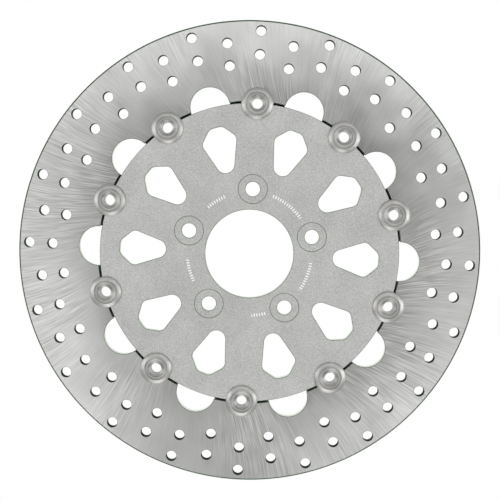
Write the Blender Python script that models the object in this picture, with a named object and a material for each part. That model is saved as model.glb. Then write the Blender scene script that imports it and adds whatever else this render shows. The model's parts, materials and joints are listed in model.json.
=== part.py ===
"""Floating motorcycle brake disc: a drilled friction ring hung on a carrier by ten turned buttons.

The disc lies flat with its axis on +Z and its outboard face up. The origin is on the axis, at the
level of the buttons' rear ends. All lengths are in metres.
"""
import math

import bmesh
import bpy
from mathutils import Matrix, Vector

MM = 0.001
GAP = 0.3 * MM

# The hub that the disc bolts to sets these.
BOLT_COUNT = 5
BOLT_CIRCLE_RADIUS = 41.275 * MM
BOLT_HOLE_RADIUS = 4.65 * MM
SPOT_FACE_RADIUS = 9.1 * MM
SPOT_FACE_DEPTH = 0.4 * MM
HUB_BORE_RADIUS = 28.2 * MM

# Friction ring and carrier, both sawn and ground from plate of one thickness.
PLATE = 5.0 * MM
RING_OUTER_RADIUS = 147.4 * MM
RING_INNER_RADIUS = 96.7 * MM
CARRIER_RADIUS = 95.6 * MM

# Cooling holes: a radial row of two every 9 degrees, the rows alternating between two pitches.
DRILL_RADIUS = 3.3 * MM
DRILL_ROWS = 40
DRILL_PITCHES = ((126.0 * MM, 140.8 * MM), (119.4 * MM, 133.6 * MM))

# Scallops that lighten the inner edge of the ring, halfway between the buttons.
SCALLOP_RADIUS = 12.5 * MM
SCALLOP_CENTRE = 96.3 * MM

# Windows in the carrier, each a kite with a round inner end.
WINDOW_END_CENTRE = 59.1 * MM
WINDOW_END_RADIUS = 5.8 * MM
WINDOW_WIDE_AT = 74.16 * MM
WINDOW_WIDE_HALF = 11.52 * MM
WINDOW_WIDE_FILLET = 4.5 * MM
WINDOW_TOP_AT = 82.7 * MM
WINDOW_TOP_HALF = 4.1 * MM
WINDOW_TOP_FILLET = 5.0 * MM

# Buttons and what holds each one in, from the front flange to the circlip behind.
BUTTON_COUNT = 10
BUTTON_CIRCLE_RADIUS = 95.4 * MM
BARREL_RADIUS = 7.0 * MM
NOTCH_RADIUS = BARREL_RADIUS + GAP
FLANGE_RADIUS = 10.1 * MM
FLANGE_EDGE = 0.5 * MM
FLANGE_THICKNESS = 1.5 * MM
CROWN_RADIUS = 7.5 * MM
RECESS_RADIUS = 7.1 * MM
RECESS_DEPTH = 0.4 * MM
STEP_RADIUS = 5.1 * MM
STEP_DEPTH = 1.0 * MM
BORE_LEAD = 0.3 * MM
BUTTON_BORE_RADIUS = 3.35 * MM
RELIEF_RADIUS = 4.7 * MM
RELIEF_DEPTH = 4.0 * MM
GROOVE_RADIUS = 6.4 * MM
REAR_LAND = 0.7 * MM
CIRCLIP_THICKNESS = 0.9 * MM
CIRCLIP_INNER_RADIUS = 6.7 * MM
CIRCLIP_GAP_ANGLE = math.radians(44)
CIRCLIP_BAND = 1.5 * MM
CIRCLIP_TAPER = 0.4 * MM
CIRCLIP_LUG = 1.2 * MM
WASHER_THICKNESS = 0.6 * MM
WASHER_RADIUS = 10.0 * MM
WAVE_THICKNESS = 0.4 * MM
WAVE_HEIGHT = 1.1 * MM
WAVE_RADIUS = 9.8 * MM
WAVE_COUNT = 3

# Levels, worked up from the rear end of the buttons.
GROOVE_LOW = REAR_LAND
CIRCLIP_LOW = GROOVE_LOW + GAP
GROOVE_HIGH = CIRCLIP_LOW + CIRCLIP_THICKNESS + GAP
WASHER_LOW = GROOVE_HIGH
WAVE_LOW = WASHER_LOW + WASHER_THICKNESS + GAP
PLATE_LOW = WAVE_LOW + WAVE_HEIGHT + GAP
PLATE_HIGH = PLATE_LOW + PLATE
FLANGE_LOW = PLATE_HIGH + GAP
FLANGE_HIGH = FLANGE_LOW + FLANGE_THICKNESS
CUT_MARGIN = 1.0 * MM

# Straight sides that stand for a full circle.
RIM_SIDES = 96
BORE_SIDES = 48
DRILL_SIDES = 8
BOLT_HOLE_SIDES = 16
SPOT_FACE_SIDES = 20
NOTCH_SIDES = 16
SCALLOP_SIDES = 24
BUTTON_SIDES = 12
WASHER_SIDES = 12
WAVE_SIDES = 18
CIRCLIP_STEPS = 14
WINDOW_END_STEPS = 4
WINDOW_WIDE_STEPS = 3
WINDOW_TOP_STEPS = 2

for old in list(bpy.data.objects):
    bpy.data.objects.remove(old, do_unlink=True)


def metal(name, colour, roughness):
    """A bare metal finish."""
    finish = bpy.data.materials.new(name)
    finish.use_nodes = True
    shader = finish.node_tree.nodes["Principled BSDF"]
    shader.inputs["Base Color"].default_value = (*colour, 1.0)
    shader.inputs["Metallic"].default_value = 1.0
    shader.inputs["Roughness"].default_value = roughness
    return finish


def place(name, bm, finish=None, location=(0.0, 0.0, 0.0), turn=0.0):
    """Close a bmesh into a named object with its faces outwards."""
    bmesh.ops.recalc_face_normals(bm, faces=bm.faces)
    mesh = bpy.data.meshes.new(name)
    bm.to_mesh(mesh)
    bm.free()
    thing = bpy.data.objects.new(name, mesh)
    bpy.context.collection.objects.link(thing)
    thing.location = location
    thing.rotation_euler.z = turn
    if finish:
        mesh.materials.append(finish)
    return thing


def shade_round(thing):
    """Smooth the turned walls and keep the corners crisp."""
    thing.data.shade_smooth()
    thing.data.set_sharp_from_angle(angle=math.radians(40))


def polar(radius, angle, z=0.0):
    """A point at a radius and an angle around the disc's axis."""
    return Vector((radius * math.cos(angle), radius * math.sin(angle), z))


def turned(bm, profile, sides):
    """Spin a closed profile of (radius, level) points about Z."""
    points = [bm.verts.new((radius, 0.0, level)) for radius, level in profile]
    edges = [bm.edges.new((a, b)) for a, b in zip(points, points[1:] + points[:1])]
    bmesh.ops.spin(bm, geom=points + edges, cent=(0, 0, 0), axis=(0, 0, 1),
                   angle=math.tau, steps=sides, use_merge=True)


def washer(bm, inner, outer, low, high, sides):
    """A flat round plate with a round hole."""
    turned(bm, [(inner, low), (outer, low), (outer, high), (inner, high)], sides)


def rod(bm, radius, low, high, sides, centre):
    """A solid round bar, standing on the point given."""
    middle = Vector((centre.x, centre.y, (low + high) / 2))
    bmesh.ops.create_cone(bm, cap_ends=True, segments=sides, radius1=radius, radius2=radius,
                          depth=high - low, matrix=Matrix.Translation(middle))


def prism(bm, outline, low, high):
    """Extrude a flat outline of (x, y) points."""
    face = bm.faces.new([bm.verts.new((x, y, low)) for x, y in outline])
    grown = bmesh.ops.extrude_face_region(bm, geom=[face])["geom"]
    top = [item for item in grown if isinstance(item, bmesh.types.BMVert)]
    bmesh.ops.translate(bm, vec=(0, 0, high - low), verts=top)


def fillet(corner, before, after, radius, steps):
    """Points of the arc that rounds a corner between two neighbours."""
    to_before = (before - corner).normalized()
    to_after = (after - corner).normalized()
    half = to_before.angle(to_after) / 2
    centre = corner + (to_before + to_after).normalized() * (radius / math.sin(half))
    start = corner + to_before * (radius / math.tan(half)) - centre
    sweep = start.angle_signed(corner + to_after * (radius / math.tan(half)) - centre)
    return [centre + Matrix.Rotation(-sweep * k / steps, 2) @ start for k in range(steps + 1)]


def window_outline():
    """One window, pointing along +X from its round inner end to its flat outer end."""
    end = Vector((WINDOW_END_CENTRE, 0.0))
    wide = Vector((WINDOW_WIDE_AT, WINDOW_WIDE_HALF))
    top = Vector((WINDOW_TOP_AT, WINDOW_TOP_HALF))
    reach = wide - end
    lean = math.atan2(reach.y, reach.x) + math.acos(WINDOW_END_RADIUS / reach.length)
    half = []
    for k in range(1, WINDOW_END_STEPS + 1):
        angle = math.pi + (lean - math.pi) * k / WINDOW_END_STEPS
        half.append(end + WINDOW_END_RADIUS * Vector((math.cos(angle), math.sin(angle))))
    half += fillet(wide, half[-1], top, WINDOW_WIDE_FILLET, WINDOW_WIDE_STEPS)
    half += fillet(top, wide, Vector((WINDOW_TOP_AT, 0.0)), WINDOW_TOP_FILLET, WINDOW_TOP_STEPS)
    tip = Vector((WINDOW_END_CENTRE - WINDOW_END_RADIUS, 0.0))
    return [tip] + half + [Vector((p.x, -p.y)) for p in reversed(half)]


def cutter(name, bm):
    """A tool body that the model itself doesn't keep."""
    tool = place(name, bm)
    tool.hide_render = True
    tool.display_type = "WIRE"
    return tool


def cut(target, tool):
    """Take a tool body away from a blank."""
    change = target.modifiers.new(tool.name, "BOOLEAN")
    change.operation = "DIFFERENCE"
    change.solver = "EXACT"
    change.object = tool


ground_steel = metal("ground_stainless", (0.50, 0.50, 0.50), 0.35)
blasted_steel = metal("blasted_stainless", (0.55, 0.55, 0.55), 0.55)
turned_steel = metal("turned_stainless", (0.60, 0.60, 0.60), 0.28)
spring_steel = metal("spring_steel", (0.35, 0.34, 0.33), 0.40)

button_angles = [math.pi / 2 + math.tau * k / BUTTON_COUNT for k in range(BUTTON_COUNT)]
between_angles = [angle + math.pi / BUTTON_COUNT for angle in button_angles]
bolt_angles = [math.pi / 2 + math.tau * k / BOLT_COUNT for k in range(BOLT_COUNT)]
cut_low = PLATE_LOW - CUT_MARGIN
cut_high = PLATE_HIGH + CUT_MARGIN

# Half of each round seat for a button is in the ring, and half is in the carrier.
shape = bmesh.new()
for angle in button_angles:
    rod(shape, NOTCH_RADIUS, cut_low, cut_high, NOTCH_SIDES, polar(BUTTON_CIRCLE_RADIUS, angle))
button_seats = cutter("button_seat_cutter", shape)

# Friction ring.
shape = bmesh.new()
for angle in between_angles:
    rod(shape, SCALLOP_RADIUS, cut_low, cut_high, SCALLOP_SIDES, polar(SCALLOP_CENTRE, angle))
scallops = cutter("scallop_cutter", shape)

shape = bmesh.new()
for row in range(DRILL_ROWS):
    row_angle = math.pi / 2 + math.tau * row / DRILL_ROWS
    for radius in DRILL_PITCHES[row % len(DRILL_PITCHES)]:
        rod(shape, DRILL_RADIUS, cut_low, cut_high, DRILL_SIDES, polar(radius, row_angle))
drillings = cutter("cooling_hole_cutter", shape)

shape = bmesh.new()
washer(shape, RING_INNER_RADIUS, RING_OUTER_RADIUS, PLATE_LOW, PLATE_HIGH, RIM_SIDES)
ring = place("friction_ring", shape, ground_steel)
for tool in (button_seats, scallops, drillings):
    cut(ring, tool)

# Carrier.
shape = bmesh.new()
for angle in between_angles:
    turn = Matrix.Rotation(angle, 2)
    prism(shape, [turn @ point for point in window_outline()], cut_low, cut_high)
windows = cutter("window_cutter", shape)

spot_floor = PLATE_HIGH - SPOT_FACE_DEPTH
shape = bmesh.new()
for angle in bolt_angles:
    rod(shape, BOLT_HOLE_RADIUS, cut_low, cut_high, BOLT_HOLE_SIDES, polar(BOLT_CIRCLE_RADIUS, angle))
bolt_holes = cutter("bolt_hole_cutter", shape)

shape = bmesh.new()
for angle in bolt_angles:
    rod(shape, SPOT_FACE_RADIUS, spot_floor, cut_high, SPOT_FACE_SIDES, polar(BOLT_CIRCLE_RADIUS, angle))
spot_faces = cutter("spot_face_cutter", shape)

shape = bmesh.new()
rod(shape, HUB_BORE_RADIUS, cut_low, cut_high, BORE_SIDES, Vector((0.0, 0.0, 0.0)))
hub_bore = cutter("hub_bore_cutter", shape)

shape = bmesh.new()
rod(shape, CARRIER_RADIUS, PLATE_LOW, PLATE_HIGH, RIM_SIDES, Vector((0.0, 0.0, 0.0)))
carrier = place("carrier", shape, blasted_steel)
for tool in (button_seats, windows, hub_bore, bolt_holes, spot_faces):
    cut(carrier, tool)

# Buttons and their rear fasteners, each set on its own axis.
button_profile = [
    (BUTTON_BORE_RADIUS, RELIEF_DEPTH),
    (RELIEF_RADIUS, RELIEF_DEPTH),
    (RELIEF_RADIUS, 0.0),
    (BARREL_RADIUS, 0.0),
    (BARREL_RADIUS, GROOVE_LOW),
    (GROOVE_RADIUS, GROOVE_LOW),
    (GROOVE_RADIUS, GROOVE_HIGH),
    (BARREL_RADIUS, GROOVE_HIGH),
    (BARREL_RADIUS, FLANGE_LOW),
    (FLANGE_RADIUS, FLANGE_LOW),
    (FLANGE_RADIUS, FLANGE_LOW + FLANGE_EDGE),
    (CROWN_RADIUS, FLANGE_HIGH),
    (RECESS_RADIUS, FLANGE_HIGH - RECESS_DEPTH),
    (STEP_RADIUS, FLANGE_HIGH - RECESS_DEPTH),
    (STEP_RADIUS, FLANGE_HIGH - STEP_DEPTH),
    (BUTTON_BORE_RADIUS, FLANGE_HIGH - STEP_DEPTH - BORE_LEAD),
]
shape = bmesh.new()
turned(shape, button_profile, BUTTON_SIDES)
button = place("button_01", shape, turned_steel)
shade_round(button)

shape = bmesh.new()
wave_middle = (WAVE_HEIGHT - WAVE_THICKNESS) / 2
washer(shape, NOTCH_RADIUS, WAVE_RADIUS, WAVE_LOW, WAVE_LOW + WAVE_THICKNESS, WAVE_SIDES)
for vert in shape.verts:
    swing = math.cos(WAVE_COUNT * math.atan2(vert.co.y, vert.co.x))
    vert.co.z += wave_middle * (1 + swing)
wave_washer = place("wave_washer_01", shape, spring_steel)

shape = bmesh.new()
washer(shape, NOTCH_RADIUS, WASHER_RADIUS, WASHER_LOW, WASHER_LOW + WASHER_THICKNESS, WASHER_SIDES)
flat_washer = place("flat_washer_01", shape, turned_steel)
shade_round(flat_washer)

# The circlip is widest opposite its gap and has a lug at each end for the pliers.
shape = bmesh.new()
outline = []
for k in range(CIRCLIP_STEPS + 1):
    angle = CIRCLIP_GAP_ANGLE / 2 + (math.tau - CIRCLIP_GAP_ANGLE) * k / CIRCLIP_STEPS
    lug = CIRCLIP_LUG if min(k, CIRCLIP_STEPS - k) < 2 else 0.0
    band = CIRCLIP_BAND - CIRCLIP_TAPER * math.cos(angle)
    outline.append((angle, CIRCLIP_INNER_RADIUS + band + lug))
outer = [polar(radius, angle) for angle, radius in outline]
inner = [polar(CIRCLIP_INNER_RADIUS, angle) for angle, radius in reversed(outline)]
prism(shape, [(p.x, p.y) for p in outer + inner], CIRCLIP_LOW, CIRCLIP_LOW + CIRCLIP_THICKNESS)
circlip = place("circlip_01", shape, spring_steel)

for number, angle in enumerate(button_angles, start=1):
    for first in (button, wave_washer, flat_washer, circlip):
        stem = first.name.rsplit("_", 1)[0]
        copy = first
        if number > 1:
            copy = bpy.data.objects.new(f"{stem}_{number:02d}", first.data)
            bpy.context.collection.objects.link(copy)
        copy.location = polar(BUTTON_CIRCLE_RADIUS, angle)
        copy.rotation_euler.z = angle
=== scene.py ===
"""Looks of a floating brake disc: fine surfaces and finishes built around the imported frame."""
import json
import math

import bmesh
import bpy
from mathutils import Matrix, Vector


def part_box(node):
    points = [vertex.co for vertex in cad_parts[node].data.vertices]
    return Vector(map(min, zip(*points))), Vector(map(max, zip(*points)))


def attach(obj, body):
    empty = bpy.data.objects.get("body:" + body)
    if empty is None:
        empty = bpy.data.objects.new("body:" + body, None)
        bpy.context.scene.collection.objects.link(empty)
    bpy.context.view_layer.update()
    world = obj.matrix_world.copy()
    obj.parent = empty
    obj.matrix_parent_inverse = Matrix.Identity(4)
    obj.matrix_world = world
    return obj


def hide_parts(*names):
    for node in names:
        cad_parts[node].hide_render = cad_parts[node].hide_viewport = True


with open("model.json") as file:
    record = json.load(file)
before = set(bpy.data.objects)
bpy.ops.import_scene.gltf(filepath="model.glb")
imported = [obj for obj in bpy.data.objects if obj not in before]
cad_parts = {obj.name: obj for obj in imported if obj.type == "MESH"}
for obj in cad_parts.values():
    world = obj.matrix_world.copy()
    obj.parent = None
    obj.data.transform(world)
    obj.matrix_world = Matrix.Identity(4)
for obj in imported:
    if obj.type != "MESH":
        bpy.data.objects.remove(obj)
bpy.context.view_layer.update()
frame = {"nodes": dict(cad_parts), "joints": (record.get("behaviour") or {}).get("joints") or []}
MM = 0.001


# --- Friction ring -------------------------------------------------------------------------------
# The ring that the pads squeeze: stainless steel plate, laser cut, drilled through 80 times for
# cooling and surface ground on both faces by a large cup wheel, which leaves near-radial arcs.
ring_low, ring_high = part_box("friction_ring")
RIM_RADIUS = ring_high.x
PLATE_LOW, PLATE_HIGH = ring_low.z, ring_high.z
RING_INNER_RADIUS = 96.7 * MM
RIM_CHAMFER = 1.0 * MM
INNER_CHAMFER = 0.25 * MM
DRILL_RADIUS = 3.3 * MM
DRILL_CHAMFER = 0.2 * MM
DRILL_ROWS = 40
DRILL_PITCHES = ((126.0 * MM, 140.8 * MM), (119.4 * MM, 133.6 * MM))
DRILLS_FROM = 113 * MM
SCALLOP_RADIUS = 12.5 * MM
SCALLOP_CENTRE = 96.3 * MM
SEAT_RADIUS = 7.3 * MM
CUTTER_OVERRUN = 1.0 * MM
PLATE_STEPS = 360
DRILL_SIDES = 32
SCALLOP_SIDES = 96
SEAT_SIDES = 64
SMOOTH_BELOW = math.radians(28)
MERGE_WITHIN = 1e-7

buttons = sorted(name for name in frame["nodes"] if name.startswith("button_"))
button_numbers = [name.rsplit("_", 1)[1] for name in buttons]
button_centres = [Vector(joint["pos_m"][:2] + [0.0]) for joint in frame["joints"]
                  if joint["name"].startswith("button_spin")]
button_angles = [math.atan2(centre.y, centre.x) for centre in button_centres]
between_angles = [angle + math.pi / len(button_angles) for angle in button_angles]


def direction(angle):
    """The flat unit vector that points at an angle around the disc's axis."""
    return Vector((math.cos(angle), math.sin(angle)))


def circle(centre, radius, sides):
    """An outline for a flared cutter: a circle that can be asked to grow."""
    def outline(grow):
        return [centre.xy + (radius + grow) * direction(math.tau * k / sides) for k in range(sides)]
    return outline


def flared_cutter(bm, outline, low, high, chamfer):
    """A through cutter that opens at 45 degrees at both faces, so it breaks the edges as it cuts."""
    levels = ((low - CUTTER_OVERRUN, chamfer + CUTTER_OVERRUN), (low + chamfer, 0.0),
              (high - chamfer, 0.0), (high + CUTTER_OVERRUN, chamfer + CUTTER_OVERRUN))
    loops = []
    for level, grow in levels:
        verts = [bm.verts.new((point.x, point.y, level)) for point in outline(grow)]
        loops.append([bm.edges.new(pair) for pair in zip(verts, verts[1:] + verts[:1])])
    for below, above in zip(loops, loops[1:]):
        bmesh.ops.bridge_loops(bm, edges=below + above)
    for end in (loops[0], loops[-1]):
        bmesh.ops.contextual_create(bm, geom=end)


def spin_profile(bm, profile, steps, centre=Vector((0.0, 0.0, 0.0))):
    """Turn a closed profile of (radius, level) points about a vertical axis."""
    verts = [bm.verts.new(centre + Vector((radius, 0.0, level))) for radius, level in profile]
    edges = [bm.edges.new(pair) for pair in zip(verts, verts[1:] + verts[:1])]
    bmesh.ops.spin(bm, geom=verts + edges, cent=centre, axis=(0, 0, 1), angle=math.tau,
                   steps=steps, use_merge=True)


def chamfered_section(inner, outer, inner_chamfer, outer_chamfer):
    """Section of a plate ring with its four edges broken."""
    return [
        (inner, PLATE_LOW + inner_chamfer), (inner + inner_chamfer, PLATE_LOW),
        (outer - outer_chamfer, PLATE_LOW), (outer, PLATE_LOW + outer_chamfer),
        (outer, PLATE_HIGH - outer_chamfer), (outer - outer_chamfer, PLATE_HIGH),
        (inner + inner_chamfer, PLATE_HIGH), (inner, PLATE_HIGH - inner_chamfer),
    ]


def placed(name, data):
    """Put a mesh, a lamp or a camera into the scene under a name."""
    made = bpy.data.objects.new(name, data)
    bpy.context.collection.objects.link(made)
    return made


def as_mesh(name, bm):
    """Turn a bmesh into a mesh and let it go."""
    mesh = bpy.data.meshes.new(name)
    bm.to_mesh(mesh)
    bm.free()
    return mesh


def crisp(mesh):
    """Shade a mesh smooth, apart from its corners."""
    mesh.shade_smooth()
    mesh.set_sharp_from_angle(angle=SMOOTH_BELOW)


def solid(name, bm):
    """Make an object of a bmesh, with its faces outwards and its corners crisp."""
    bmesh.ops.remove_doubles(bm, verts=bm.verts, dist=MERGE_WITHIN)
    bmesh.ops.recalc_face_normals(bm, faces=bm.faces)
    mesh = as_mesh(name, bm)
    crisp(mesh)
    return placed(name, mesh)


def machined(blank, *cutters):
    """Take each cutter out of a blank, keep the result and throw the cutters away."""
    for cutter in cutters:
        cut = blank.modifiers.new("cut", "BOOLEAN")
        cut.operation = "DIFFERENCE"
        cut.solver = "EXACT"
        cut.object = cutter
    seen = blank.evaluated_get(bpy.context.evaluated_depsgraph_get())
    mesh = bpy.data.meshes.new_from_object(seen)
    blank.modifiers.clear()
    blank.data = mesh
    for cutter in cutters:
        bpy.data.objects.remove(cutter, do_unlink=True)
    crisp(mesh)


def linear(hex_colour):
    """An sRGB hex colour as the linear RGBA that a shader wants."""
    channels = [int(hex_colour[start:start + 2], 16) / 255 for start in (1, 3, 5)]
    return [c / 12.92 if c <= 0.04045 else ((c + 0.055) / 1.055) ** 2.4 for c in channels] + [1.0]


def add_node(tree, kind, inputs=None, **settings):
    """Add a node with its settings; an input is a value, or the output that feeds it."""
    made = tree.nodes.new(kind)
    for setting, value in settings.items():
        setattr(made, setting, value)
    for socket, value in (inputs or {}).items():
        if isinstance(value, bpy.types.NodeSocket):
            tree.links.new(value, made.inputs[socket])
        else:
            made.inputs[socket].default_value = value
    return made.outputs


def bare_steel(name, roughness=0.5, anisotropic=0.0):
    """A plain metal to build a finish on: the material, its node tree and its shader."""
    finish = bpy.data.materials.new(name)
    finish.use_nodes = True
    shader = finish.node_tree.nodes["Principled BSDF"]
    shader.inputs["Metallic"].default_value = 1.0
    shader.inputs["Roughness"].default_value = roughness
    shader.inputs["Anisotropic"].default_value = anisotropic
    return finish, finish.node_tree, shader


def flat_polar(tree):
    """Radius and angle around the disc's axis, from the piece's own object coordinates."""
    place = add_node(tree, "ShaderNodeTexCoord")["Object"]
    flat = add_node(tree, "ShaderNodeVectorMath", {0: place, 1: (1, 1, 0)}, operation="MULTIPLY")[0]
    radius = add_node(tree, "ShaderNodeVectorMath", {0: flat}, operation="LENGTH")["Value"]
    split = add_node(tree, "ShaderNodeSeparateXYZ", {0: place})
    angle = add_node(tree, "ShaderNodeMath", {0: split["Y"], 1: split["X"]}, operation="ARCTAN2")[0]
    return place, radius, angle


# Surface-ground 420 stainless: grey, satin, brighter along some passes of the wheel than others. It
# blurs reflections across the grinding lines, so the light fans out around the ring.
WHEEL_RADIUS = 215 * MM
WHEEL_CENTRE = 268 * MM
WHEEL_OFFSET = WHEEL_CENTRE ** 2 - WHEEL_RADIUS ** 2
MID_RADIUS = 125 * MM
SMUDGE_SIZE = 26.3 * MM
BITE_SIZE = 62.5 * MM
FADE_FROM, FADE_TO = 100 * MM, 135 * MM
# Painted shade: between these radii the ring's colour goes from darker at the inner edge to lighter further
# out.
SHADE_INWARD_FROM, SHADE_INWARD_TO = 98 * MM, 120 * MM

ground_steel, tree, shader = bare_steel("surface_ground_stainless", anisotropic=0.75)
place, radius, angle = flat_polar(tree)
# Each grinding line is an arc of the wheel's rim. The lay is the angle around the disc at which the
# wheel's centre stood when it cut the line, so it stays the same all along the line.
radius_squared = add_node(tree, "ShaderNodeMath", {0: radius, 1: 2.0}, operation="POWER")[0]
over = add_node(tree, "ShaderNodeMath", {0: radius_squared, 1: WHEEL_OFFSET}, operation="ADD")[0]
under = add_node(tree, "ShaderNodeMath", {0: radius, 1: 2 * WHEEL_CENTRE}, operation="MULTIPLY")[0]
ratio = add_node(tree, "ShaderNodeMath", {0: over, 1: under}, operation="DIVIDE")[0]
bend = add_node(tree, "ShaderNodeMath", {0: ratio}, operation="ARCCOSINE")[0]
lay = add_node(tree, "ShaderNodeMath", {0: angle, 1: bend}, operation="SUBTRACT")[0]
lay_cos = add_node(tree, "ShaderNodeMath", {0: lay}, operation="COSINE")[0]
lay_sin = add_node(tree, "ShaderNodeMath", {0: lay}, operation="SINE")[0]


def grinding_lines(width, length):
    """Noise drawn out along the arcs of the wheel, from the width of a line and its length."""
    around = MID_RADIUS / width
    x = add_node(tree, "ShaderNodeMath", {0: lay_cos, 1: around}, operation="MULTIPLY")[0]
    y = add_node(tree, "ShaderNodeMath", {0: lay_sin, 1: around}, operation="MULTIPLY")[0]
    z = add_node(tree, "ShaderNodeMath", {0: radius, 1: 1 / length}, operation="MULTIPLY")[0]
    where = add_node(tree, "ShaderNodeCombineXYZ", {0: x, 1: y, 2: z})[0]
    return add_node(tree, "ShaderNodeTexNoise", {"Vector": where, "Scale": 1.0, "Detail": 2.0,
                                                 "Roughness": 0.55})["Fac"]


# Real scratches are about a tenth of a millimetre wide, so these are drawn coarser to show.
fine_lines = grinding_lines(0.42 * MM, 16 * MM)
coarse_lines = grinding_lines(1.1 * MM, 34 * MM)
smudges = add_node(tree, "ShaderNodeTexNoise", {"Vector": place, "Scale": 1 / SMUDGE_SIZE,
                                                "Detail": 3.0})["Fac"]
# Some stretches of the ring were cut harder than others, so the lines come and go. They are weaker
# towards the rim.
bite = add_node(tree, "ShaderNodeTexNoise", {"Vector": place, "Scale": 1 / BITE_SIZE, "Detail": 1.0})["Fac"]
bite = add_node(tree, "ShaderNodeMapRange", {"Value": bite, "From Min": 0.38, "From Max": 0.62,
                                             "To Min": 0.5, "To Max": 3.8})["Result"]
fade = add_node(tree, "ShaderNodeMapRange", {"Value": radius, "From Min": FADE_FROM, "From Max": FADE_TO,
                                             "To Min": 1.3, "To Max": 0.75})["Result"]
bite = add_node(tree, "ShaderNodeMath", {0: bite, 1: fade}, operation="MULTIPLY")[0]
# Painted shade: the ring's colour is darker towards its inner edge than further out.
inward_painted_shade = add_node(tree, "ShaderNodeMapRange", {"Value": radius, "From Min": SHADE_INWARD_FROM,
                                              "From Max": SHADE_INWARD_TO, "To Min": 0.28,
                                              "To Max": 0.5})["Result"]
lines = add_node(tree, "ShaderNodeMath", {0: coarse_lines, 1: 0.25, 2: -0.5}, operation="MULTIPLY_ADD")[0]
lines = add_node(tree, "ShaderNodeMath", {0: fine_lines, 1: 0.75, 2: lines}, operation="MULTIPLY_ADD")[0]
tone = add_node(tree, "ShaderNodeMath", {0: lines, 1: bite, 2: inward_painted_shade}, operation="MULTIPLY_ADD")[0]
cloud = add_node(tree, "ShaderNodeMath", {0: smudges, 1: 0.5, 2: -0.25}, operation="MULTIPLY_ADD")[0]
tone = add_node(tree, "ShaderNodeMath", {0: tone, 1: cloud}, operation="ADD", use_clamp=True)[0]
colour = add_node(tree, "ShaderNodeMix", {0: tone, 6: linear("#a6a6a5"), 7: linear("#e2e2e0")},
                  data_type="RGBA")[2]
tree.links.new(colour, shader.inputs["Base Color"])
rough = add_node(tree, "ShaderNodeMapRange", {"Value": smudges, "From Min": 0.35, "From Max": 0.65,
                                              "To Min": 0.285, "To Max": 0.34})["Result"]
tree.links.new(rough, shader.inputs["Roughness"])
grain = add_node(tree, "ShaderNodeBump", {"Height": coarse_lines, "Strength": 0.1,
                                          "Distance": 0.02 * MM})[0]
tree.links.new(grain, shader.inputs["Normal"])
# The grinding lines lean from the radius by this much, and the tangent lies square across them.
over = add_node(tree, "ShaderNodeMath", {0: radius_squared, 1: -WHEEL_OFFSET}, operation="ADD")[0]
under = add_node(tree, "ShaderNodeMath", {0: radius, 1: 2 * WHEEL_RADIUS}, operation="MULTIPLY")[0]
lean_sine = add_node(tree, "ShaderNodeMath", {0: over, 1: under}, operation="DIVIDE")[0]
lean = add_node(tree, "ShaderNodeMath", {0: lean_sine}, operation="ARCSINE")[0]
along = add_node(tree, "ShaderNodeMath", {0: angle, 1: lean}, operation="SUBTRACT")[0]
across = add_node(tree, "ShaderNodeMath", {0: along, 1: math.pi / 2}, operation="ADD")[0]
across_cos = add_node(tree, "ShaderNodeMath", {0: across}, operation="COSINE")[0]
across_sin = add_node(tree, "ShaderNodeMath", {0: across}, operation="SINE")[0]
tangent = add_node(tree, "ShaderNodeCombineXYZ", {0: across_cos, 1: across_sin, 2: 0.0})[0]
tree.links.new(tangent, shader.inputs["Tangent"])

# A face belongs to a flat of the plate when its normal is more upright than the first of these, and to
# a cut wall when it is less upright than the second. The broken edges lie between.
FACE_LEAN = 0.9
WALL_LEAN = 0.3
RIPPLE_SIZE = 1.11 * MM


def cut_finish(name, dark, light, shade_matte=False):
    """Cut walls and deburred edges: dull, rippled, with green from the dried coolant."""
    finish, tree, shader = bare_steel(name, 0.38)
    if shade_matte:
        # Painted shade: the wall is made matt and barely mirroring, so that with dark colours it stays as
        # dark as shade.
        shader.inputs["Metallic"].default_value = 0.0
        shader.inputs["Roughness"].default_value = 0.75
        shader.inputs["Specular IOR Level"].default_value = 0.1
    place = add_node(tree, "ShaderNodeTexCoord")["Object"]
    ripple = add_node(tree, "ShaderNodeTexNoise", {"Vector": place, "Scale": 1 / RIPPLE_SIZE,
                                                   "Detail": 2.0})["Fac"]
    colour = add_node(tree, "ShaderNodeMix", {0: ripple, 6: linear(dark), 7: linear(light)},
                      data_type="RGBA")[2]
    tree.links.new(colour, shader.inputs["Base Color"])
    return finish


def finish_plate(plate, face_finish, edge_finish, wall_finish):
    """Give a plate its face finish, and its broken edges and its cut walls their own."""
    plate.data.materials.clear()
    for finish in (face_finish, edge_finish, wall_finish):
        plate.data.materials.append(finish)
    for face in plate.data.polygons:
        lean = abs(face.normal.z)
        face.material_index = 0 if lean > FACE_LEAN else 1 if lean > WALL_LEAN else 2
        face.use_smooth = lean < FACE_LEAN


work = bmesh.new()
spin_profile(work, chamfered_section(RING_INNER_RADIUS, RIM_RADIUS, INNER_CHAMFER, RIM_CHAMFER),
             PLATE_STEPS)
ring = solid("friction_ring_ground", work)

work = bmesh.new()
for row in range(DRILL_ROWS):
    row_angle = math.pi / 2 + math.tau * row / DRILL_ROWS
    for pitch in DRILL_PITCHES[row % len(DRILL_PITCHES)]:
        hole = circle(pitch * direction(row_angle), DRILL_RADIUS, DRILL_SIDES)
        flared_cutter(work, hole, PLATE_LOW, PLATE_HIGH, DRILL_CHAMFER)
drills = solid("drills", work)

work = bmesh.new()
for angle in between_angles:
    scallop = circle(SCALLOP_CENTRE * direction(angle), SCALLOP_RADIUS, SCALLOP_SIDES)
    flared_cutter(work, scallop, PLATE_LOW, PLATE_HIGH, INNER_CHAMFER)
scallops = solid("scallops", work)


def seat_cutters():
    """The ten round seats, half in the ring and half in the carrier, that the buttons sit in."""
    work = bmesh.new()
    for centre in button_centres:
        seat = circle(centre, SEAT_RADIUS, SEAT_SIDES)
        flared_cutter(work, seat, PLATE_LOW, PLATE_HIGH, INNER_CHAMFER)
    return solid("seats", work)


machined(ring, drills, scallops, seat_cutters())
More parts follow.
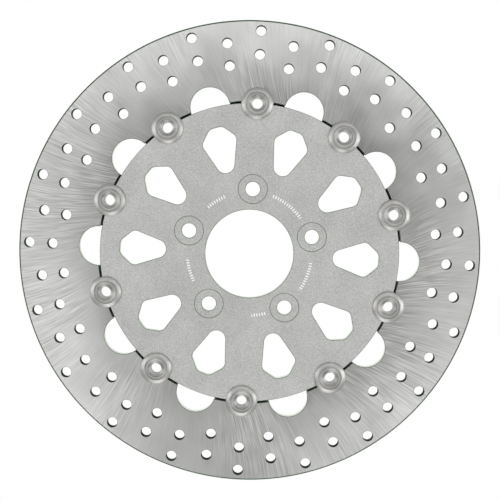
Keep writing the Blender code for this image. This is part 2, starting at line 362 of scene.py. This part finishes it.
# The laser leaves the walls of both plates pale. The broken edges keep a green tinge, and their dark tone
# is painted shade.
laser_cut_wall = cut_finish("laser_cut_wall", "#bfccba", "#e0e9dc")
deburred_edge_painted_shade = cut_finish("deburred_edge_painted_shade", "#29402c", "#4a674c")
finish_plate(ring, ground_steel, deburred_edge_painted_shade, laser_cut_wall)
# The walls of the drilled holes lie outside the scallops and inside the rim. Their near-black colour is
# painted shade, standing in for the shade inside the narrow holes.
ring.data.materials.append(cut_finish("drilled_wall_painted_shade", "#161b16", "#2c322b", shade_matte=True))
for face in ring.data.polygons:
    if face.material_index == 2 and DRILLS_FROM < face.center.xy.length < RIM_RADIUS - RIM_CHAMFER:
        face.material_index = 3
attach(ring, "friction_ring")
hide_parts("friction_ring")


# --- Carrier -------------------------------------------------------------------------------------
# The centre that bolts to the hub: plate of the same thickness, cut out into ten arms, bead blasted
# to an even matte grey, with a shallow machined seat for each bolt head.
CARRIER_RADIUS = 95.6 * MM
HUB_BORE_RADIUS = 28.2 * MM
BOLT_CIRCLE = 41.275 * MM
BOLT_HOLE_RADIUS = 4.65 * MM
BOLT_COUNT = 5
SPOT_FACE_RADIUS = 9.1 * MM
SPOT_FACE_DEPTH = 0.4 * MM
CARRIER_CHAMFER = 0.3 * MM
BORE_CHAMFER = 0.35 * MM
WINDOW_CHAMFER = 0.35 * MM
WINDOW_END_CENTRE = 59.1 * MM
WINDOW_END_RADIUS = 5.8 * MM
WINDOW_WIDE = Vector((74.16, 11.52)) * MM
WINDOW_WIDE_FILLET = 4.5 * MM
WINDOW_TOP = Vector((82.7, 4.1)) * MM
WINDOW_TOP_FILLET = 5.0 * MM
ARC_STEPS = 10
BOLT_HOLE_SIDES = 48
SPOT_FACE_SIDES = 96


def corner_arc(corner, before, after, radius):
    """Centre, radius and end angles of the arc that rounds a corner."""
    to_before = (before - corner).normalized()
    to_after = (after - corner).normalized()
    half = to_before.angle(to_after) / 2
    centre = corner + (to_before + to_after).normalized() * (radius / math.sin(half))
    start = corner + to_before * (radius / math.tan(half)) - centre
    stop = corner + to_after * (radius / math.tan(half)) - centre
    return centre, radius, math.atan2(start.y, start.x), math.atan2(stop.y, stop.x)


def window(turn):
    """A kite with rounded corners, pointing along a direction from the disc's axis."""
    end = Vector((WINDOW_END_CENTRE, 0.0))
    reach = WINDOW_WIDE - end
    touch = math.atan2(reach.y, reach.x) + math.acos(WINDOW_END_RADIUS / reach.length)
    side = end + WINDOW_END_RADIUS * direction(touch)
    arcs = [
        (end, WINDOW_END_RADIUS, math.pi, touch),
        corner_arc(WINDOW_WIDE, side, WINDOW_TOP, WINDOW_WIDE_FILLET),
        corner_arc(WINDOW_TOP, WINDOW_WIDE, Vector((WINDOW_TOP.x, 0.0)), WINDOW_TOP_FILLET),
    ]

    def outline(grow):
        half = []
        for centre, radius, start, stop in arcs:
            for step in range(ARC_STEPS + 1):
                turned = start + (stop - start) * step / ARC_STEPS
                half.append(centre + (radius + grow) * direction(turned))
        whole = half + [Vector((p.x, -p.y)) for p in reversed(half[1:])]
        return [Matrix.Rotation(turn, 2) @ point for point in whole]
    return outline


# Bead-blasted stainless: the peened surface scatters light evenly and sparkles in fine specks. The
# real dimples are about a tenth of a millimetre, so the specks are drawn coarser to show.
SPECK_SIZE = 2 / 3 * MM
CLOUD_SIZE = 16.7 * MM

blasted_steel, tree, shader = bare_steel("bead_blasted_stainless", 0.52)
place, radius, angle = flat_polar(tree)
specks = add_node(tree, "ShaderNodeTexNoise", {"Vector": place, "Scale": 1 / SPECK_SIZE,
                                               "Detail": 2.0, "Roughness": 0.7})["Fac"]
clouds = add_node(tree, "ShaderNodeTexNoise", {"Vector": place, "Scale": 1 / CLOUD_SIZE,
                                               "Detail": 3.0})["Fac"]
tone = add_node(tree, "ShaderNodeMath", {0: clouds, 1: 0.2}, operation="MULTIPLY")[0]
tone = add_node(tree, "ShaderNodeMath", {0: specks, 1: 0.8, 2: tone}, operation="MULTIPLY_ADD")[0]
tone = add_node(tree, "ShaderNodeMapRange", {"Value": tone, "From Min": 0.3,
                                             "From Max": 0.7})["Result"]
colour = add_node(tree, "ShaderNodeMix", {0: tone, 6: linear("#a4a4a4"), 7: linear("#dadad7")},
                  data_type="RGBA")[2]
# Five short arcs of laser-etched ticks lie between the bolt seats. They are plain ticks, no letters.
# Each is the angle of its middle and half its sweep, in degrees.
ETCHED_ARCS = ((125, 10), (55, 17), (-19, 14), (-78, 7), (-162, 11))
ETCHED_RADIUS = 39.6 * MM
ETCHED_HALF_HEIGHT = 1.0 * MM
TICK_PITCH = 1.7 * MM
TICK_HALF_SHARE = 0.22
etched = 0.0
for middle, half_sweep in ETCHED_ARCS:
    arc = add_node(tree, "ShaderNodeMath", {0: angle, 1: math.radians(middle),
                                            2: math.radians(half_sweep)}, operation="COMPARE")[0]
    etched = add_node(tree, "ShaderNodeMath", {0: arc, 1: etched}, operation="MAXIMUM")[0]
band = add_node(tree, "ShaderNodeMath", {0: radius, 1: ETCHED_RADIUS, 2: ETCHED_HALF_HEIGHT},
                operation="COMPARE")[0]
turns = add_node(tree, "ShaderNodeMath", {0: angle, 1: ETCHED_RADIUS / TICK_PITCH},
                 operation="MULTIPLY")[0]
within = add_node(tree, "ShaderNodeMath", {0: turns}, operation="FRACT")[0]
tick = add_node(tree, "ShaderNodeMath", {0: within, 1: 0.5, 2: TICK_HALF_SHARE},
                operation="COMPARE")[0]
etched = add_node(tree, "ShaderNodeMath", {0: etched, 1: band}, operation="MULTIPLY")[0]
etched = add_node(tree, "ShaderNodeMath", {0: etched, 1: tick}, operation="MULTIPLY")[0]
# The ticks are on the front face only.
level = add_node(tree, "ShaderNodeSeparateXYZ", {0: place})["Z"]
front = add_node(tree, "ShaderNodeMath", {0: level, 1: (PLATE_LOW + PLATE_HIGH) / 2},
                 operation="GREATER_THAN")[0]
etched = add_node(tree, "ShaderNodeMath", {0: etched, 1: front}, operation="MULTIPLY")[0]
colour = add_node(tree, "ShaderNodeMix", {0: etched, 6: colour, 7: linear("#ffffff")},
                  data_type="RGBA")[2]
tree.links.new(colour, shader.inputs["Base Color"])
peening = add_node(tree, "ShaderNodeBump", {"Height": specks, "Strength": 0.2,
                                            "Distance": 0.03 * MM})[0]
tree.links.new(peening, shader.inputs["Normal"])

work = bmesh.new()
spin_profile(work, chamfered_section(HUB_BORE_RADIUS, CARRIER_RADIUS, BORE_CHAMFER, CARRIER_CHAMFER),
             PLATE_STEPS)
carrier = solid("carrier_blasted", work)

work = bmesh.new()
for angle in between_angles:
    flared_cutter(work, window(angle), PLATE_LOW, PLATE_HIGH, WINDOW_CHAMFER)
windows = solid("windows", work)

work = bmesh.new()
spot_faces = bmesh.new()
for bolt in range(BOLT_COUNT):
    middle = BOLT_CIRCLE * direction(math.pi / 2 + math.tau * bolt / BOLT_COUNT)
    hole = circle(middle, BOLT_HOLE_RADIUS, BOLT_HOLE_SIDES)
    flared_cutter(work, hole, PLATE_LOW, PLATE_HIGH - SPOT_FACE_DEPTH, BORE_CHAMFER)
    # The cutter is a cone, so that the wall of each seat leans out at 45 degrees.
    bmesh.ops.create_cone(spot_faces, cap_ends=True, segments=SPOT_FACE_SIDES,
                          radius1=SPOT_FACE_RADIUS, radius2=SPOT_FACE_RADIUS + 2 * SPOT_FACE_DEPTH,
                          depth=2 * SPOT_FACE_DEPTH,
                          matrix=Matrix.Translation((middle.x, middle.y, PLATE_HIGH)))
bolt_holes = solid("bolt_holes", work)
bolt_seats = solid("bolt_seats", spot_faces)

machined(carrier, windows, seat_cutters(), bolt_holes, bolt_seats)
blasted_edge = cut_finish("blasted_edge", "#5c765b", "#8aa287")
finish_plate(carrier, blasted_steel, blasted_edge, laser_cut_wall)
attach(carrier, "carrier")
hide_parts("carrier")


# --- Buttons -------------------------------------------------------------------------------------
# Ten hollow stainless buttons, turned from bar, that key the ring to the carrier. Each has a coned
# flange in front, a shallow dished face, a stepped bore and a groove behind for its circlip.
button_low, button_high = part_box(buttons[0])
FLANGE_RADIUS = 10.1 * MM
FLANGE_LOW = PLATE_HIGH + 0.3 * MM
FLANGE_EDGE = 0.5 * MM
FLANGE_HIGH = button_high.z
CROWN_RADIUS = 7.5 * MM
DISH_RADIUS = 7.2 * MM
DISH_DEPTH = 0.35 * MM
STEP_RADIUS = 5.1 * MM
STEP_DEPTH = 1.0 * MM
BUTTON_BORE_RADIUS = 3.35 * MM
BORE_LEAD = 0.3 * MM
RELIEF_RADIUS = 4.7 * MM
RELIEF_HIGH = 4.0 * MM
BARREL_RADIUS = 7.0 * MM
GROOVE_RADIUS = 6.4 * MM
GROOVE_LOW = 0.7 * MM
GROOVE_HIGH = 2.2 * MM
EDGE_BREAK = 0.12 * MM
BUTTON_STEPS = 72


def break_corners(bm, width):
    """Round every corner of a closed bmesh over by a small width."""
    bmesh.ops.recalc_face_normals(bm, faces=bm.faces)
    corners = [edge for edge in bm.edges if edge.is_manifold and edge.calc_face_angle() > SMOOTH_BELOW]
    bmesh.ops.bevel(bm, geom=corners, offset=width, offset_type="OFFSET", affect="EDGES",
                    segments=2, profile=0.5, material=-1)


def turned_piece(name, body, centre, profile, edge_break, finish, nodes, steps=BUTTON_STEPS):
    """A lathe-turned piece, with its edges broken and the distance from its axis kept on it."""
    work = bmesh.new()
    spin_profile(work, profile, steps, centre)
    break_corners(work, edge_break)
    piece = solid(name, work)
    from_axis = piece.data.attributes.new("from_axis", "FLOAT_VECTOR", "POINT")
    for vert, stored in zip(piece.data.vertices, from_axis.data):
        stored.vector = vert.co - centre
    piece.data.materials.append(finish)
    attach(piece, body)
    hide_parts(*nodes)
    return piece


# Lathe-turned stainless: tool rings around the axis, which draw each highlight into a radial cone.
# Real feed marks are about a tenth of a millimetre apart, so these are drawn coarser to show.
TOOL_RING_SIZE = 0.77 * MM
# Half the width of the painted shade rings in the inner corners.
CORNER_SHADE_HALF_WIDTH = 0.2 * MM

turned_steel, tree, shader = bare_steel("lathe_turned_stainless", 0.45, 0.4)
from_axis = add_node(tree, "ShaderNodeAttribute", attribute_name="from_axis")["Vector"]
flat = add_node(tree, "ShaderNodeVectorMath", {0: from_axis, 1: (1, 1, 0)}, operation="MULTIPLY")[0]
radius = add_node(tree, "ShaderNodeVectorMath", {0: flat}, operation="LENGTH")["Value"]
tool_rings = add_node(tree, "ShaderNodeTexNoise", {"W": radius, "Scale": 1 / TOOL_RING_SIZE,
                                                   "Detail": 3.0}, noise_dimensions="1D")["Fac"]
tone = add_node(tree, "ShaderNodeMapRange", {"Value": tool_rings, "From Min": 0.36, "From Max": 0.64,
                                             "To Max": 0.6})["Result"]
# Painted light: the crown and the flange are coloured lighter than the dish.
crown_painted_light = add_node(tree, "ShaderNodeMapRange", {"Value": radius, "From Min": DISH_RADIUS - 0.2 * MM,
                                             "From Max": CROWN_RADIUS + 0.1 * MM,
                                             "To Min": 0.04, "To Max": 0.26})["Result"]
tone = add_node(tree, "ShaderNodeMath", {0: tone, 1: crown_painted_light}, operation="ADD")[0]
colour = add_node(tree, "ShaderNodeMix", {0: tone, 6: linear("#8c8c8a"), 7: linear("#d0cfcc")},
                  data_type="RGBA")[2]
# Painted shade: dark thin rings in the two inner corners, at the step and at the edge of the dish.
corner_painted_shade = 0.0
for corner in (STEP_RADIUS, DISH_RADIUS):
    near = add_node(tree, "ShaderNodeMath", {0: radius, 1: corner, 2: CORNER_SHADE_HALF_WIDTH},
                    operation="COMPARE")[0]
    corner_painted_shade = add_node(tree, "ShaderNodeMath", {0: near, 1: 0.45, 2: corner_painted_shade}, operation="MULTIPLY_ADD")[0]
colour = add_node(tree, "ShaderNodeMix", {0: corner_painted_shade, 6: colour, 7: linear("#454543")},
                  data_type="RGBA")[2]
tree.links.new(colour, shader.inputs["Base Color"])
rings = add_node(tree, "ShaderNodeBump", {"Height": tool_rings, "Strength": 0.35,
                                          "Distance": 0.02 * MM})[0]
tree.links.new(rings, shader.inputs["Normal"])
outward = add_node(tree, "ShaderNodeVectorTransform", {0: flat}, vector_type="VECTOR",
                   convert_from="OBJECT", convert_to="WORLD")[0]
tree.links.new(outward, shader.inputs["Tangent"])

button_profile = [
    (BUTTON_BORE_RADIUS, RELIEF_HIGH), (RELIEF_RADIUS, RELIEF_HIGH),
    (RELIEF_RADIUS, button_low.z), (BARREL_RADIUS, button_low.z),
    (BARREL_RADIUS, GROOVE_LOW), (GROOVE_RADIUS, GROOVE_LOW),
    (GROOVE_RADIUS, GROOVE_HIGH), (BARREL_RADIUS, GROOVE_HIGH),
    (BARREL_RADIUS, FLANGE_LOW), (FLANGE_RADIUS, FLANGE_LOW),
    (FLANGE_RADIUS, FLANGE_LOW + FLANGE_EDGE), (CROWN_RADIUS, FLANGE_HIGH),
    (DISH_RADIUS, FLANGE_HIGH - DISH_DEPTH), (STEP_RADIUS, FLANGE_HIGH - DISH_DEPTH),
    (STEP_RADIUS, FLANGE_HIGH - STEP_DEPTH),
    (BUTTON_BORE_RADIUS, FLANGE_HIGH - STEP_DEPTH - BORE_LEAD),
]
for name, centre in zip(buttons, button_centres):
    turned_piece(f"{name}_turned", name, centre, button_profile, EDGE_BREAK, turned_steel,
                 [name])


# --- Plain washers -------------------------------------------------------------------------------
# Behind each button lies a plain stainless washer, punched from sheet and tumbled, which the
# circlip bears on.
WASHER_BORE_RADIUS = 7.3 * MM
WASHER_EDGE_BREAK = 0.08 * MM

for name, number, centre in zip(buttons, button_numbers, button_centres):
    low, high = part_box(f"flat_washer_{number}")
    outer = (high.y - low.y) / 2
    section = [(WASHER_BORE_RADIUS, low.z), (outer, low.z),
               (outer, high.z), (WASHER_BORE_RADIUS, high.z)]
    turned_piece(f"plain_washer_{number}", name, centre, section, WASHER_EDGE_BREAK, turned_steel,
                 [f"flat_washer_{number}"])


# --- Wave washers --------------------------------------------------------------------------------
# Between the plain washer and the plate a thin three-wave spring washer keeps the ring from
# rattling. It is stamped from tempered strip, oil-blacked, and rubbed bright on its crests.
WAVE_COUNT = 3
WAVE_THICKNESS = 0.4 * MM
WAVE_OUTER_RADIUS = 9.8 * MM
WAVE_SWING = 0.35 * MM
WAVE_STEPS = 96

# Oil-blacked spring steel: a dark grey, slightly mottled oxide with bright edges.
SCALE_MARK_SIZE = 1.43 * MM

spring_steel, tree, shader = bare_steel("oil_blacked_spring_steel")
place = add_node(tree, "ShaderNodeTexCoord")["Object"]
scale_marks = add_node(tree, "ShaderNodeTexNoise", {"Vector": place, "Scale": 1 / SCALE_MARK_SIZE,
                                                    "Detail": 4.0})["Fac"]
colour = add_node(tree, "ShaderNodeMix", {0: scale_marks, 6: linear("#4e4d4a"), 7: linear("#7b7974")},
                  data_type="RGBA")[2]
# Edges and crests are rubbed back to bright steel.
edges = add_node(tree, "ShaderNodeNewGeometry")["Pointiness"]
rubbed = add_node(tree, "ShaderNodeMapRange", {"Value": edges, "From Min": 0.52,
                                               "From Max": 0.6})["Result"]
colour = add_node(tree, "ShaderNodeMix", {0: rubbed, 6: colour, 7: linear("#b4b2ac")},
                  data_type="RGBA")[2]
tree.links.new(colour, shader.inputs["Base Color"])
rough = add_node(tree, "ShaderNodeMapRange", {"Value": scale_marks, "From Min": 0.3, "From Max": 0.7,
                                              "To Min": 0.36, "To Max": 0.5})["Result"]
tree.links.new(rough, shader.inputs["Roughness"])

for name, number, centre, turn in zip(buttons, button_numbers, button_centres, button_angles):
    low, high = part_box(f"wave_washer_{number}")
    top = low.z + WAVE_THICKNESS
    section = [(WASHER_BORE_RADIUS, low.z), (WAVE_OUTER_RADIUS, low.z),
               (WAVE_OUTER_RADIUS, top), (WASHER_BORE_RADIUS, top)]
    piece = turned_piece(f"wave_spring_{number}", name, centre, section, WASHER_EDGE_BREAK,
                         spring_steel, [f"wave_washer_{number}"], WAVE_STEPS)
    for vert in piece.data.vertices:
        out = vert.co - centre
        around = math.atan2(out.y, out.x) - turn
        vert.co.z += WAVE_SWING * (1 + math.cos(WAVE_COUNT * around))


# --- Circlips ------------------------------------------------------------------------------------
# A tapered external circlip snaps into each button's rear groove. It is stamped spring steel, widest
# opposite its gap, with a drilled lug at each end for the pliers.
CIRCLIP_INNER_RADIUS = 6.7 * MM
CIRCLIP_GAP = math.radians(44)
CIRCLIP_BAND = 1.5 * MM
CIRCLIP_TAPER = 0.4 * MM
CIRCLIP_LUG = 1.2 * MM
LUG_SWEEP = math.radians(22.5)
LUG_SLOPE = math.radians(9)
LUG_HOLE_RADIUS = 0.6 * MM
LUG_HOLE_SHARE = 0.55
LUG_HOLE_SIDES = 20
LUG_DRILL_LENGTH = 4 * MM
CIRCLIP_STEPS = 112

for name, number, centre, turn in zip(buttons, button_numbers, button_centres, button_angles):
    low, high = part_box(f"circlip_{number}")
    work = bmesh.new()
    rim = []
    for step in range(CIRCLIP_STEPS + 1):
        around = CIRCLIP_GAP / 2 + (math.tau - CIRCLIP_GAP) * step / CIRCLIP_STEPS
        from_end = min(around, math.tau - around) - CIRCLIP_GAP / 2
        lug = CIRCLIP_LUG * min(1.0, max(0.0, (LUG_SWEEP + LUG_SLOPE - from_end) / LUG_SLOPE))
        band = CIRCLIP_BAND - CIRCLIP_TAPER * math.cos(around)
        rim.append((turn + around, CIRCLIP_INNER_RADIUS + band + lug))
    bore = [(around, CIRCLIP_INNER_RADIUS) for around, radius in reversed(rim)]
    verts = [work.verts.new(centre + Vector((radius * math.cos(a), radius * math.sin(a), low.z)))
             for a, radius in rim + bore]
    grown = bmesh.ops.extrude_face_region(work, geom=[work.faces.new(verts)])["geom"]
    top = [item for item in grown if isinstance(item, bmesh.types.BMVert)]
    bmesh.ops.translate(work, vec=(0, 0, high.z - low.z), verts=top)
    break_corners(work, WASHER_EDGE_BREAK)
    clip = solid(f"snap_ring_{number}", work)
    holes = bmesh.new()
    reach = CIRCLIP_INNER_RADIUS + (CIRCLIP_BAND - CIRCLIP_TAPER + CIRCLIP_LUG) * LUG_HOLE_SHARE
    for side in (-1, 1):
        lug_angle = turn + side * (CIRCLIP_GAP / 2 + LUG_SWEEP / 2)
        middle = centre + reach * direction(lug_angle).to_3d() + Vector((0, 0, low.z))
        bmesh.ops.create_cone(holes, cap_ends=True, segments=LUG_HOLE_SIDES, radius1=LUG_HOLE_RADIUS,
                              radius2=LUG_HOLE_RADIUS, depth=LUG_DRILL_LENGTH,
                              matrix=Matrix.Translation(middle))
    machined(clip, solid("lug_holes", holes))
    clip.data.materials.clear()
    clip.data.materials.append(spring_steel)
    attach(clip, name)
    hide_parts(f"circlip_{number}")


# --- Stage ---------------------------------------------------------------------------------------
# A white light table under the disc, a soft dome above it and softboxes around. The cut walls mirror
# the table, but the camera doesn't see it, so that the disc can also be looked at from below.
TABLE_LEVEL = -0.5 * MM
TABLE_REACH = 3000 * MM

work = bmesh.new()
bmesh.ops.create_grid(work, x_segments=1, y_segments=1, size=TABLE_REACH,
                      matrix=Matrix.Translation((0, 0, TABLE_LEVEL)))
floor = placed("light_table", as_mesh("light_table", work))
opal = bpy.data.materials.new("opal_light_table")
opal.use_nodes = True
opal.node_tree.nodes.clear()
glow = add_node(opal.node_tree, "ShaderNodeEmission", {"Color": (1, 1, 1, 1), "Strength": 1.0})["Emission"]
add_node(opal.node_tree, "ShaderNodeOutputMaterial", {"Surface": glow})
floor.data.materials.append(opal)
floor.visible_camera = False
floor.visible_diffuse = False
floor.visible_shadow = False

# Strips of black card lie just under the slit between ring and carrier, because the white background
# would show through it. They are painted shade, a dark sheet where the slit would be in shade. They stop
# short of the scallops.
SLIT_RADIUS = (CARRIER_RADIUS + RING_INNER_RADIUS) / 2
CARD_LEVEL = PLATE_LOW - 0.28 * MM
CARD_WIDTH = 2.0 * MM
CARD_FROM, CARD_TO = math.radians(4.5), math.radians(10.4)
CARD_STEPS = 6

slit_shade_card = bpy.data.materials.new("black_card_painted_shade")
slit_shade_card.use_nodes = True
shader = slit_shade_card.node_tree.nodes["Principled BSDF"]
shader.inputs["Base Color"].default_value = (0, 0, 0, 1)
shader.inputs["Specular IOR Level"].default_value = 0.0
work = bmesh.new()
for angle in button_angles:
    for side in (-1, 1):
        start = angle + side * CARD_FROM
        ends = [work.verts.new((radius * math.cos(start), radius * math.sin(start), CARD_LEVEL))
                for radius in (SLIT_RADIUS - CARD_WIDTH / 2, SLIT_RADIUS + CARD_WIDTH / 2)]
        edge = work.edges.new(ends)
        bmesh.ops.spin(work, geom=ends + [edge], cent=(0, 0, 0), axis=(0, 0, 1),
                       angle=side * (CARD_TO - CARD_FROM), steps=CARD_STEPS)
slit_shade_strips = placed("slit_shade_strips", as_mesh("slit_shade_strips", work))
slit_shade_strips.data.materials.append(slit_shade_card)
slit_shade_strips.visible_diffuse = False

# The dome is bright low down and dims towards the top. What the camera sees past the disc is white.
world = bpy.data.worlds.new("studio")
bpy.context.scene.world = world
world.use_nodes = True
tree = world.node_tree
tree.nodes.clear()
outlook = add_node(tree, "ShaderNodeTexCoord")["Generated"]
height = add_node(tree, "ShaderNodeSeparateXYZ", {0: outlook})["Z"]
wall = add_node(tree, "ShaderNodeMapRange", {"Value": height, "From Min": 0.3, "From Max": 0.6,
                                             "To Min": 0.8, "To Max": 0.15},
                interpolation_type="SMOOTHSTEP")["Result"]
top = add_node(tree, "ShaderNodeMapRange", {"Value": height, "From Min": 0.7, "From Max": 0.95,
                                            "To Min": 1.0, "To Max": 0.4},
               interpolation_type="SMOOTHSTEP")["Result"]
dome = add_node(tree, "ShaderNodeMath", {0: wall, 1: top}, operation="MULTIPLY")[0]
seen_directly = add_node(tree, "ShaderNodeLightPath")["Is Camera Ray"]
strength = add_node(tree, "ShaderNodeMix", {0: seen_directly, 2: dome, 3: 1.0}, data_type="FLOAT")[0]
sky = add_node(tree, "ShaderNodeBackground", {"Color": (1, 1, 1, 1), "Strength": strength})["Background"]
add_node(tree, "ShaderNodeOutputWorld", {"Surface": sky})


# Three softboxes low around the disc make the lobes of light on the ground ring. Five more from
# above keep the blasted carrier even. Each is azimuth and elevation in degrees, then watts.
SOFTBOXES = ((0, 42, 3.3), (180, 42, 2.25), (270, 42, 2.8), (60, 60, 1.7), (120, 60, 1.2),
             (180, 60, 0.9), (240, 60, 0.7), (330, 60, 0.95))
SOFTBOX_SIZE = 550 * MM
SOFTBOX_DISTANCE = 1100 * MM

for azimuth, elevation, watts in SOFTBOXES:
    lamp = bpy.data.lights.new(f"softbox_{azimuth}_{elevation}", "AREA")
    lamp.shape = "DISK"
    lamp.size = SOFTBOX_SIZE
    lamp.energy = watts
    box = placed(lamp.name, lamp)
    box.visible_camera = False
    flat = direction(math.radians(azimuth)) * math.cos(math.radians(elevation))
    towards = Vector((flat.x, flat.y, math.sin(math.radians(elevation))))
    box.location = towards * SOFTBOX_DISTANCE
    box.rotation_euler = towards.to_track_quat("Z", "Y").to_euler()

# The camera stands almost straight above the disc. Its lens and sensor are in millimetres.
CAMERA_PLACE = Vector((3.09, 47.54, 640.0)) * MM
CAMERA_AIM = Vector((0.29, 2.26, 7.0)) * MM
CAMERA_ROLL = math.radians(3.06)
LENS_LENGTH = 71.29
SENSOR_WIDTH = 36.0

lens = bpy.data.cameras.new("camera")
lens.lens = LENS_LENGTH
lens.sensor_width = SENSOR_WIDTH
camera = placed("camera", lens)
back = (CAMERA_PLACE - CAMERA_AIM).normalized()
right = Vector((0, 1, 0)).cross(back).normalized()
axes = Matrix((right, back.cross(right), back)).transposed()
camera.location = CAMERA_PLACE
camera.rotation_euler = (axes @ Matrix.Rotation(CAMERA_ROLL, 3, "Z")).to_euler()
bpy.context.scene.camera = camera
bpy.context.scene.view_settings.view_transform = "Standard"
